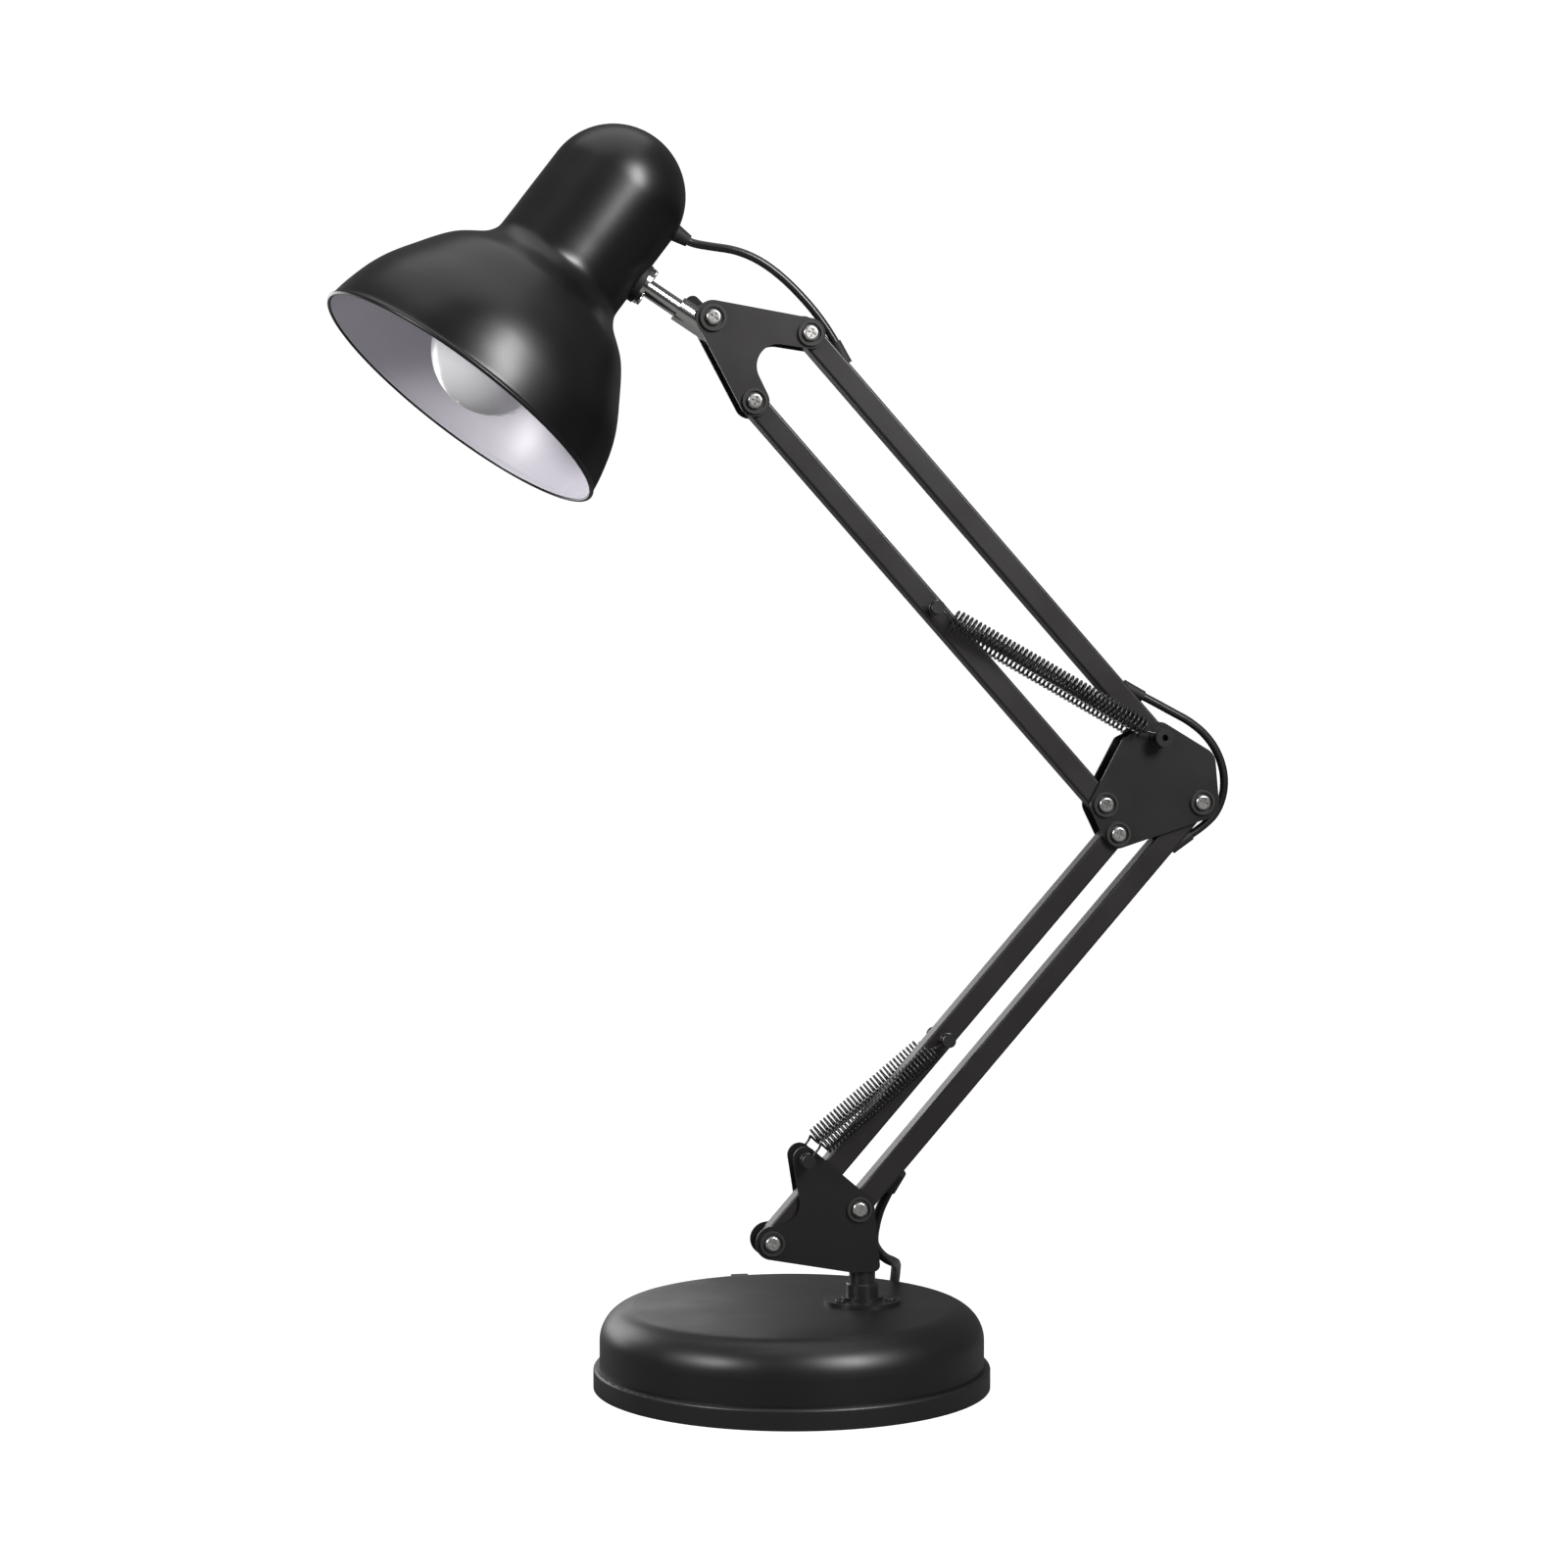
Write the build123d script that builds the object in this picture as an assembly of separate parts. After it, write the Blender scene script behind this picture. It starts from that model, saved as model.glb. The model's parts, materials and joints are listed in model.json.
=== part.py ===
from build123d import *

import math
import os

# Architect desk lamp: a weighted round base, two spring-balanced parallel arms and a bell shade.
# Millimetres, +Z up. The origin is the centre of the base's underside. The arms move in the XZ plane,
# the shade is towards -X and the elbow towards +X. "Near" pieces are on the -Y side.

os.makedirs("parts", exist_ok=True)

# ---------------------------------------------------------------- driving dimensions
BASE_R = 95.0
SKIRT_H = 10.0
COVER_R = 92.0
BASE_H = 38.5
SHOULDER_R = 16.0
SHEET = 1.2
STEM_X = 34.5
STEM_R = 6.25
FIT = 0.05

BAR = 11.0
BAR_WALL = 1.0
BAR_CORNER = 1.2
BAR_LENGTH = 257.5
PLATE_IN = 6.4
PLATE_T = 1.2
PLATE_OUT = PLATE_IN + PLATE_T

BOLT_R = 2.5
HEAD_R = 3.7
HEAD_H = 2.2
CUP_R = 6.0
CUP_H = 1.5

SPRING_Y = 12.6
SPRING_R = 4.7
SPRING_WIRE = 1.0
SPRING_LOOP_R = 3.2
SPRING_PIN_R = 2.0
SPRING_PIN_AT = 127.5

SPRING_END = SPRING_Y + 3.0
COLLAR_R = 3.2
COLLAR_T = 1.4

NUT_R = 4.4
NUT_H = 3.0
CROSS_LONG = 4.4
CROSS_WIDE = 1.5
CROSS_DEEP = 0.9
THREAD_OUT = 3.4

LEAD_R = 2.0
CORD_R = 2.5
BOOT_H = 11.6
BOOT_INSIDE = 2.6

LOWER_ANGLE = 48.6
UPPER_ANGLE = 132.0


def polar(angle, length=1.0):
    """A step in the arm plane, as (x, z)."""
    return length * math.cos(math.radians(angle)), length * math.sin(math.radians(angle))


def step(point, angle, length):
    dx, dz = polar(angle, length)
    return point[0] + dx, point[1] + dz


# pivots in the arm plane, as (x, z)
PIVOT_G = (-11.0, 69.6)
PIVOT_H = step(PIVOT_G, 19.5, 45.0)
PIVOT_E = step(PIVOT_G, LOWER_ANGLE, BAR_LENGTH)
PIVOT_F = step(PIVOT_H, LOWER_ANGLE, BAR_LENGTH)
PIVOT_D = step(PIVOT_E, 113.9, 15.7)
PIVOT_S = step(PIVOT_D, 50.3, 42.0)
PIVOT_C = step(PIVOT_D, UPPER_ANGLE, BAR_LENGTH)
PIVOT_B = step(PIVOT_S, UPPER_ANGLE, BAR_LENGTH)
PIVOT_A = step(PIVOT_B, 172.0, 47.0)
STUD_L = (5.0, 109.5)
PIN_T = step(PIVOT_G, LOWER_ANGLE, SPRING_PIN_AT)
PIN_U = step(PIVOT_D, UPPER_ANGLE, SPRING_PIN_AT)

# shade
ROD_ANGLE = 147.4
ROD_R = 4.3
SLEEVE_R = 6.0
ROD_DROP = 4.5
ROD_REACH = 37.2
SWIVEL = 5.5
SHADE_TURN = 37.4
SHADE_H = 156.0
NECK_R = 33.6
NECK_TOP = 122.4
ROD_SEAT_AT = 97.4
LEAD_HOLE_AT = 127.4
MOUTH_R = 75.0
SHADE_WALL = 0.9
BULB_R = 30.0

STANDING = (Align.CENTER, Align.CENTER, Align.MIN)

made = {}


def keep(name, shape):
    """Writes one sub-part."""
    shape.label = name
    export_step(shape, f"parts/{name}.step")
    made[name] = shape
    return shape


def solids_of(shapes):
    return Compound(children=[s for shape in shapes for s in shape.solids()])


def at(point, y=0.0):
    """A point of the arm plane as a vector, y towards the far side."""
    return Vector(point[0], y, point[1])


def across(point, radius, y0, y1):
    """A cylinder along Y through a point of the arm plane."""
    plane = Plane(origin=at(point, y0), x_dir=(1, 0, 0), z_dir=(0, 1, 0))
    return extrude(plane * Circle(radius), y1 - y0)


def ring_across(point, outer, inner, y0, y1):
    low, high = min(y0, y1), max(y0, y1)
    return across(point, outer, low, high) - across(point, inner, low - 1, high + 1)


def disc(x, y, radius, z0, z1):
    return Pos(x, y, z0) * extrude(Circle(radius), z1 - z0)


# ---------------------------------------------------------------- base
def base():
    pad = disc(0, 0, 89.0, 0, 2.0)
    keep("base_pad", fillet(pad.edges().group_by(Axis.Z)[0], 0.5))

    skirt = disc(0, 0, BASE_R, 0, SKIRT_H) - disc(0, 0, 89.2, -1, SKIRT_H + 1)
    rim = skirt.edges().group_by(Axis.Z)[-1].sort_by(SortBy.RADIUS)[-1]
    keep("base_skirt", fillet(rim, 1.6))

    body = disc(0, 0, COVER_R, SKIRT_H, BASE_H)
    body = fillet(body.edges().group_by(Axis.Z)[-1], SHOULDER_R)
    inside = disc(0, 0, COVER_R - SHEET, SKIRT_H, BASE_H - SHEET)
    inside = fillet(inside.edges().group_by(Axis.Z)[-1], SHOULDER_R - SHEET)
    hole = disc(STEM_X, 0, 8.0, SKIRT_H, BASE_H + 1)
    keep("base_cover", body - inside - hole)

    weight = disc(0, 0, 84.0, 2.0, 20.0)
    keep("base_weight", chamfer(weight.edges().group_by(Axis.Z)[-1], 3.0))

    socket = disc(STEM_X, 0, 7.75, 20.0, 48.0) + disc(STEM_X, 0, 18.5, BASE_H, BASE_H + 1.6)
    socket += disc(STEM_X, 0, 10.0, BASE_H, BASE_H + 3.0)
    socket -= disc(STEM_X, 0, STEM_R + FIT, 23.0, 49.0)
    lips = socket.edges().filter_by(GeomType.CIRCLE).group_by(Axis.Z)[-1]
    keep("post_socket", chamfer(lips.sort_by(SortBy.RADIUS)[-1], 0.6))

    screws = []
    for turn in (90, 210, 330):
        x = STEM_X + 14.2 * math.cos(math.radians(turn))
        y = 14.2 * math.sin(math.radians(turn))
        screw = disc(x, y, 2.4, BASE_H + 1.6, BASE_H + 3.0)
        screw = fillet(screw.edges().group_by(Axis.Z)[-1], 0.7)
        slot = Pos(x, y, BASE_H + 3.0) * Rot(0, 0, turn + 35) * Box(3.2, 0.7, 1.2)
        screws.append(screw - slot)
    keep("socket_screws", solids_of(screws))


# ---------------------------------------------------------------- plates
def taut(*rounds):
    """An outline pulled taut round (x, z, radius) pins, anticlockwise; a negative radius turns inwards."""
    count = len(rounds)
    normals = []
    for i in range(count):
        (x0, z0, r0), (x1, z1, r1) = rounds[i], rounds[(i + 1) % count]
        length = math.dist((x0, z0), (x1, z1))
        dx, dz = (x1 - x0) / length, (z1 - z0) / length
        lean = (r0 - r1) / length
        out = math.sqrt(1 - lean * lean)
        normals.append((dx * lean + dz * out, dz * lean - dx * out))
    edges = []
    for i in range(count):
        x, z, r = rounds[i]
        before, after = normals[i - 1], normals[i]
        turn = math.degrees(math.atan2(after[1], after[0]) - math.atan2(before[1], before[0]))
        start = math.degrees(math.atan2(before[1], before[0]))
        if r > 0:
            edges.append(CenterArc((x, z), r, start, turn % 360).edge())
        else:
            edges.append(CenterArc((x, z), -r, start + 180, -((-turn) % 360)).edge())
        x1, z1, r1 = rounds[(i + 1) % count]
        leaves = (x + r * after[0], z + r * after[1])
        meets = (x1 + r1 * after[0], z1 + r1 * after[1])
        edges.append(Line(leaves, meets).edge())
    return make_face(Wire(edges))


def boss(point, radius):
    return point[0], point[1], radius


def plate(outline, holes, y0, y1):
    """A sheet plate from an outline drawn in the arm plane, with round holes through it."""
    plane = Plane(origin=(0, y1, 0), x_dir=(1, 0, 0), z_dir=(0, -1, 0))
    sheet = extrude(plane * outline, y1 - y0)
    for point, radius in holes:
        sheet -= across(point, radius, y0 - 1, y1 + 1)
    return sheet


def plate_pair(name, outline, holes):
    for side, y0, y1 in (("near", -PLATE_OUT, -PLATE_IN), ("far", PLATE_IN, PLATE_OUT)):
        keep(f"{name}_plate_{side}", plate(outline, holes, y0, y1))


def bolts(name, points, more_rings=()):
    """Crosshead bolts across a bracket, with cup washers, nuts and thin washers beside the bars."""
    screws, nuts, rings = [], [], []
    for point in points:
        face = -PLATE_OUT - 0.5
        shank = across(point, BOLT_R, face, PLATE_OUT + THREAD_OUT)
        head = across(point, HEAD_R, face - HEAD_H, face)
        head = fillet(head.edges().group_by(Axis.Y)[0], 1.1)
        for turn in (20, 110):
            slot = Rot(0, turn, 0) * Box(CROSS_LONG, CROSS_WIDE, CROSS_DEEP)
            head -= Pos(point[0], face - HEAD_H, point[1]) * slot
        screws.append(shank + head)
        nut_plane = Plane(origin=at(point, PLATE_OUT + 0.4), x_dir=(1, 0, 0), z_dir=(0, 1, 0))
        nut = extrude(nut_plane * RegularPolygon(NUT_R, 6), NUT_H + 0.6)
        nut = nut - across(point, BOLT_R, PLATE_OUT, PLATE_OUT + THREAD_OUT)
        nuts.append(fillet(nut.edges().group_by(Axis.Y)[-1], 0.4))
        cup = ring_across(point, CUP_R, BOLT_R, -PLATE_OUT - CUP_H, -PLATE_OUT)
        cup -= ring_across(point, HEAD_R + 1.2, 0.1, -PLATE_OUT - CUP_H - 1, face)
        rings.append(cup)
        rings.append(ring_across(point, 5.2, BOLT_R, PLATE_OUT, PLATE_OUT + 0.4))
        for side in (-1, 1):
            rings.append(ring_across(point, 5.0, BOLT_R, side * (BAR / 2 + 0.1), side * PLATE_IN))
    keep(f"{name}_bolts", solids_of(screws))
    keep(f"{name}_nuts", solids_of(nuts))
    keep(f"{name}_washers", solids_of(rings + list(more_rings)))


def bar(start, angle, beyond_start, beyond_end, ports=()):
    """A square tube between two pivots, its sides rounded at the ends, with a hole for each lead."""
    length = BAR_LENGTH
    side = Pos((length + beyond_end - beyond_start) / 2, 0) * SlotOverall(
        length + beyond_start + beyond_end, BAR
    )
    plane = Plane(origin=(0, BAR / 2, 0), x_dir=(1, 0, 0), z_dir=(0, -1, 0))
    tube = extrude(plane * side, BAR)
    long_edges = tube.edges().filter_by(GeomType.LINE).filter_by(Axis.X)
    tube = fillet(long_edges, BAR_CORNER)
    bore = Box(length + 60, BAR - 2 * BAR_WALL, BAR - 2 * BAR_WALL)
    tube -= Pos(length / 2, 0, 0) * bore
    for along in (0, length):
        tube -= across((along, 0), BOLT_R + FIT, -BAR, BAR)
    for along, way, radius in ports:
        tube -= Pos(along, 0, way * BAR / 2) * Cylinder(radius, 6)
    return tube, Location(at(start)) * Rot(0, -angle, 0)


def spring_pin(point):
    """A pin across a bar that holds a spring on each side."""
    pin = across(point, SPRING_PIN_R, -SPRING_END, SPRING_END)
    for side in (-1, 1):
        low, high = sorted((side * SPRING_END, side * (SPRING_END + COLLAR_T)))
        pin += across(point, COLLAR_R, low, high)
    return pin


def springs(name, fixed, moving, fixed_gap, moving_gap):
    """A tension spring each side of an arm: the closed shape of its coil, and a wire loop at each end."""
    length = math.dist(fixed, moving)
    angle = math.degrees(math.atan2(moving[1] - fixed[1], moving[0] - fixed[0]))
    loop = Rot(90, 0, 0) * Torus(SPRING_LOOP_R, SPRING_WIRE / 2)
    coils, eyes = [], []
    for y in (-SPRING_Y, SPRING_Y):
        place = Location(at(fixed, y)) * Rot(0, 90 - angle, 0)
        coil = Pos(0, 0, fixed_gap) * extrude(Circle(SPRING_R), length - fixed_gap - moving_gap)
        wire = Circle(SPRING_WIRE / 2)
        coil += Pos(0, 0, SPRING_LOOP_R) * extrude(wire, fixed_gap - SPRING_LOOP_R) + loop
        tail = Pos(0, 0, length - moving_gap) * extrude(wire, moving_gap - SPRING_LOOP_R)
        coils.append(place * coil)
        eyes.append(place * (tail + Pos(0, 0, length) * loop))
    keep(f"{name}_springs", solids_of(coils))
    keep(f"{name}_spring_eyes", solids_of(eyes))


# ---------------------------------------------------------------- lower arm
def lower_bracket():
    outline = taut(
        boss(PIVOT_G, 8.0), (27.5, 57.3, 3.0), (38.6, 57.3, 3.0), boss(PIVOT_H, 7.4),
        boss(STUD_L, 5.8), (-8.0, 88.6, -10.3),
    )
    holes = [(PIVOT_G, BOLT_R), (PIVOT_H, BOLT_R), (STUD_L, SPRING_PIN_R)]
    plate_pair("lower", outline, holes)
    bolts("lower", [PIVOT_G, PIVOT_H])

    pin = disc(STEM_X, 0, STEM_R, 23.2, 49.0)
    pin += disc(STEM_X, 0, 6.3, 48.3, 56.0)
    block = Pos(STEM_X, 0, 60.6) * Box(13.0, 2 * PLATE_IN, 12.0)
    keep("stem_post", pin + fillet(block.edges().filter_by(Axis.Y), 1.5))

    studs = []
    for side in (-1, 1):
        low, high = sorted((side * PLATE_IN, side * SPRING_END))
        stud = across(STUD_L, SPRING_PIN_R, low, high)
        low, high = sorted((side * SPRING_END, side * (SPRING_END + COLLAR_T)))
        studs.append(stud + across(STUD_L, COLLAR_R, low, high))
    keep("lower_spring_studs", solids_of(studs))


def lower_arm():
    ports = ((24.0, -1, 3.4), (BAR_LENGTH - 23.0, -1, 2.9))
    tube, place = bar(PIVOT_H, LOWER_ANGLE, BAR / 2, BAR / 2, ports)
    keep("lower_rear_bar", place * tube)
    tube, place = bar(PIVOT_G, LOWER_ANGLE, BAR / 2, BAR / 2)
    keep("lower_front_bar", place * tube - across(PIN_T, SPRING_PIN_R, -BAR, BAR))
    keep("lower_spring_pin", spring_pin(PIN_T))
    springs("lower", STUD_L, PIN_T, 10.0, 8.5)


# ---------------------------------------------------------------- elbow
def elbow():
    outline = taut(
        boss(PIVOT_D, 7.5), boss(PIVOT_E, 7.0), boss(PIVOT_F, 8.5),
        (200.5, 296.5, 8.0), boss(PIVOT_S, 7.5), (164.5, 306.0, 4.0),
    )
    holes = [(p, BOLT_R) for p in (PIVOT_D, PIVOT_E, PIVOT_F, PIVOT_S)]
    plate_pair("elbow", outline, holes)
    bolts("elbow", [PIVOT_D, PIVOT_E, PIVOT_F])
    pin = across(PIVOT_S, BOLT_R, -SPRING_END, SPRING_END)
    for side in (-1, 1):
        low, high = sorted((side * SPRING_END, side * (SPRING_END + 1.6)))
        pin += across(PIVOT_S, 4.4, low, high)
        low, high = sorted((side * PLATE_OUT, side * (PLATE_OUT + COLLAR_T)))
        pin += across(PIVOT_S, 4.8, low, high)
    pin -= across(PIVOT_S, 1.6, -40, -SPRING_Y - 1.0)
    keep("elbow_spring_pin", pin)


# ---------------------------------------------------------------- upper arm
def upper_arm():
    ports = ((27.0, -1, 2.9), (BAR_LENGTH - 20.0, -1, 2.9))
    tube, place = bar(PIVOT_S, UPPER_ANGLE, BAR / 2, 9.4, ports)
    keep("upper_top_bar", place * tube)
    tube, place = bar(PIVOT_D, UPPER_ANGLE, BAR / 2, BAR / 2)
    keep("upper_front_bar", place * tube - across(PIN_U, SPRING_PIN_R, -BAR, BAR))
    keep("upper_spring_pin", spring_pin(PIN_U))
    springs("upper", PIVOT_S, PIN_U, 9.5, 9.5)


# ---------------------------------------------------------------- head bracket
def head_bracket():
    outline = taut(boss(PIVOT_A, 8.2), boss(PIVOT_C, 7.2), (-7.8, 485.0, -10.5), boss(PIVOT_B, 7.2))
    holes = [(PIVOT_A, BOLT_R), (PIVOT_B, BOLT_R), (PIVOT_C, BOLT_R)]
    plate_pair("head", outline, holes)
    face = -PLATE_OUT - 0.5
    cup = ring_across(PIVOT_A, CUP_R + 0.4, BOLT_R, -PLATE_OUT - CUP_H, -PLATE_OUT)
    cup -= ring_across(PIVOT_A, HEAD_R + 1.2, 0.1, -PLATE_OUT - CUP_H - 1, face)
    washer = ring_across(PIVOT_A, 6.4, BOLT_R, PLATE_OUT, PLATE_OUT + 1.0)
    bolts("head", [PIVOT_B, PIVOT_C], [cup, washer])

    screw = across(PIVOT_A, BOLT_R, face, PLATE_OUT + 8.5)
    head = fillet(across(PIVOT_A, HEAD_R, face - HEAD_H, face).edges().group_by(Axis.Y)[0], 1.1)
    for turn in (35, 125):
        slot = Rot(0, turn, 0) * Box(CROSS_LONG, CROSS_WIDE, CROSS_DEEP)
        head -= Pos(PIVOT_A[0], face - HEAD_H, PIVOT_A[1]) * slot
    keep("tilt_bolt", screw + head)

    hub = across(PIVOT_A, 5.6, PLATE_OUT + 1.0, PLATE_OUT + 7.0)
    for turn in (0, 180):
        wing = Box(11.0, 2.4, 8.4)
        wing = fillet(wing.edges().filter_by(Axis.Y), 3.2)
        lean = Pos(9.0, PLATE_OUT + 7.0, 0) * Rot(0, 0, 35) * wing
        hub += Pos(PIVOT_A[0], 0, PIVOT_A[1]) * Rot(0, 52 + turn, 0) * lean
    keep("wing_nut", hub - across(PIVOT_A, BOLT_R + FIT, PLATE_OUT, PLATE_OUT + 8.5))


# ---------------------------------------------------------------- shade
ROD_DIR = polar(ROD_ANGLE)
ROD_SIDE = polar(ROD_ANGLE + 90)
ROD_ORIGIN = (PIVOT_A[0] + ROD_SIDE[0] * ROD_DROP, PIVOT_A[1] + ROD_SIDE[1] * ROD_DROP)
ROD_PLANE = Plane(origin=at(ROD_ORIGIN), x_dir=(0, 1, 0), z_dir=(ROD_DIR[0], 0, ROD_DIR[1]))
ROD_AXIS = Axis(at(ROD_ORIGIN), (ROD_DIR[0], 0, ROD_DIR[1]))


def along_rod(radius, z0, z1):
    return ROD_PLANE.location * Pos(0, 0, z0) * extrude(Circle(radius), z1 - z0)


def shade_place():
    """Where the shade's own frame stands: its mouth's centre at the origin, +Z towards its crown."""
    seat = Vector(*ROD_PLANE.location.position) + ROD_AXIS.direction * ROD_REACH
    turn = Rot(0, SHADE_TURN, 0)
    to_seat = turn * Pos(NECK_R, 0, ROD_SEAT_AT)
    mouth = seat - to_seat.position
    return Location(mouth) * turn


def swivelled(shape):
    return shape.rotate(ROD_AXIS, SWIVEL)


def shade_profile(offset):
    """The bell's outline from mouth to crown, moved inwards by an offset, as a curve in (radius, height)."""
    r = NECK_R - offset
    bell = Spline(
        [(MOUTH_R - offset, 0), (70.4 - offset, 22.6), (60.2 - offset, 43.5), (54.2 - offset, 53.2)],
        tangents=[(-0.10, 1.0), (-0.45, 0.9)],
    )
    shoulder = Spline(
        [(54.2 - offset, 53.2), (46.6 - offset, 62.0 - 0.5 * offset), (r + 0.9, 72.0), (r, 76.0)],
        tangents=[(-0.45, 0.9), (0, 1.0)],
    )
    neck = Line((r, 76.0), (r, NECK_TOP))
    dome = CenterArc((0, NECK_TOP), r, 0, 90)
    return bell, shoulder, neck, dome


def closed_bell(offset):
    bell, shoulder, neck, dome = shade_profile(offset)
    top = SHADE_H - offset
    outline = [bell, shoulder, neck, dome, Line((0, top), (0, 0)), Line((0, 0), (MOUTH_R - offset, 0))]
    return revolve(Plane.XZ * make_face(Wire([e for c in outline for e in c.edges()])), Axis.Z)


def shade_solid():
    """The pressed shade in its own frame, with its rolled rim and the hole for the lead."""
    bead = Pos(0, 0, 0.9) * Torus(MOUTH_R - 0.5, 0.95)
    lead_hole = Pos(NECK_R, 0, LEAD_HOLE_AT) * Rot(0, 90, 0) * Cylinder(3.2, 12)
    return closed_bell(0) - closed_bell(SHADE_WALL) + bead - lead_hole


def shade():
    place = shade_place()
    outer = closed_bell(0)
    shell = shade_solid()
    rivet_hole = along_rod(1.6, ROD_REACH - 6, ROD_REACH + 8)
    rivet_holes = [rivet_hole.moved(Location(v)) for v in rivet_steps()]
    placed = place * shell
    for hole in rivet_holes:
        placed -= hole
    keep("shade_shell", swivelled(placed))

    seat = along_rod(9.8, ROD_REACH - 1.6, ROD_REACH + 5.0) - place * outer
    for hole in rivet_holes:
        seat -= hole
    seat = max(seat.solids(), key=lambda s: s.volume)
    keep("shade_seat", swivelled(seat))

    rod = along_rod(ROD_R, 6.5, ROD_REACH - 1.6) + along_rod(9.4, ROD_REACH - 3.6, ROD_REACH - 1.6)
    for hole in rivet_holes:
        rod -= hole
    keep("head_rod", swivelled(rod))

    rivets = []
    for v in rivet_steps():
        rivet = along_rod(1.6, ROD_REACH - 4.8, ROD_REACH + 3.4)
        rivet += fillet(along_rod(2.5, ROD_REACH - 5.0, ROD_REACH - 3.6).edges(), 0.6)
        rivets.append(swivelled(rivet.moved(Location(v))))
    keep("rod_rivets", solids_of(rivets))

    sleeve = along_rod(SLEEVE_R, -6.0, 15.5) + across(PIVOT_A, 6.2, -SLEEVE_R, SLEEVE_R)
    sleeve -= along_rod(ROD_R + FIT, 6.2, 20.0)
    sleeve -= across(PIVOT_A, BOLT_R + FIT, -10, 10)
    keep("rod_sleeve", sleeve)

    # lamp holder and bulb on the shade's axis
    crown = SHADE_H - SHADE_WALL
    holder = Pos(0, 0, 97.0) * extrude(Circle(17.0), crown - 14.0 - 97.0)
    holder += Pos(0, 0, crown - 14.0) * extrude(Circle(11.0), 8.0)
    holder -= Pos(0, 0, 96.0) * extrude(Circle(13.6), 26.0)
    holder += Pos(0, 0, crown - 6.0) * extrude(Circle(5.0), 5.0)
    keep("lamp_holder", swivelled(place * holder))
    ring = Pos(0, 0, 93.0) * (extrude(Circle(20.0), 4.0) - extrude(Circle(14.2), 4.0))
    keep("holder_ring", swivelled(place * ring))

    bulb_z = 29.0
    ball = CenterArc((0, bulb_z), BULB_R, -90, 90 + 38).edge()
    end = ball @ 1
    neck = Spline([(end.X, end.Y), (15.5, 72.0), (13.0, 86.0)], tangents=[(-0.62, 0.79), (-0.05, 1.0)])
    close = Polyline([(13.0, 86.0), (0, 86.0), (0, bulb_z - BULB_R)])
    face = make_face(Wire([ball] + neck.edges() + close.edges()))
    keep("bulb_glass", swivelled(place * revolve(Plane.XZ * face, Axis.Z)))
    cap = Pos(0, 0, 86.0) * extrude(Circle(13.2), 24.0)
    cap += Pos(0, 0, 110.0) * Cone(9.0, 5.0, 4.0, align=STANDING)
    keep("bulb_cap", swivelled(place * cap))


def rivet_steps():
    """Where the two rivets stand from the rod's axis."""
    side = Vector(ROD_SIDE[0], 0, ROD_SIDE[1])
    return [side * -6.9, side * 6.9]


# ---------------------------------------------------------------- leads and mains cord
def face_point(start, angle, along, way=-1):
    """A point on a bar's face, an along distance from a pivot, on the side that way names."""
    x, z = step(start, angle, along)
    dx, dz = polar(angle + 90 * way, BAR / 2)
    return Vector(x + dx, 0, z + dz)


def flexible(name, route, radius):
    """A lead's tube: straight runs between the route's points, joined by arcs as large as the runs allow."""
    points = [Vector(*p) for p in route]
    runs = [(b - a).length for a, b in zip(points, points[1:])]
    radii = []
    for i in range(1, len(points) - 1):
        turn = math.radians((points[i] - points[i - 1]).get_angle(points[i + 1] - points[i]))
        radii.append(0.45 * min(runs[i - 1], runs[i]) / math.tan(turn / 2))
    path = FilletPolyline(*points, radius=radii) if radii else Line(*points)
    tube = sweep(Plane(origin=path @ 0, z_dir=path % 0) * Circle(radius), path=path)
    share = tube.volume / (math.pi * radius ** 2 * path.length)
    radii_text = " ".join(f"{r:.0f}" for r in radii)
    print(f"{name}: length {path.length:.1f}, volume share {share:.4f}, radii {radii_text}")
    keep(name, tube)


def boot(start, towards, radius, wall):
    """A rubber boot that guides a lead out of a bar's side, and the point where the lead leaves it."""
    line = (Vector(*towards) - start).normalized()
    plane = Plane(origin=start - line * BOOT_INSIDE, z_dir=line)
    cone = plane.location * Cone(radius + 1.3, radius + 0.7, BOOT_H, align=STANDING)
    cone = cone - wall
    cone = max(cone.solids(), key=lambda s: s.volume)
    tip = start + line * (BOOT_H - BOOT_INSIDE)
    return cone, (tip.X, tip.Y, tip.Z)


TOP_ENTRY = face_point(PIVOT_B, UPPER_ANGLE + 180, 20.0, 1)
TOP_EXIT = face_point(PIVOT_S, UPPER_ANGLE, 27.0)
REAR_ENTRY = face_point(PIVOT_F, LOWER_ANGLE + 180, 23.0, 1)
REAR_EXIT = face_point(PIVOT_H, LOWER_ANGLE, 24.0)

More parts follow.
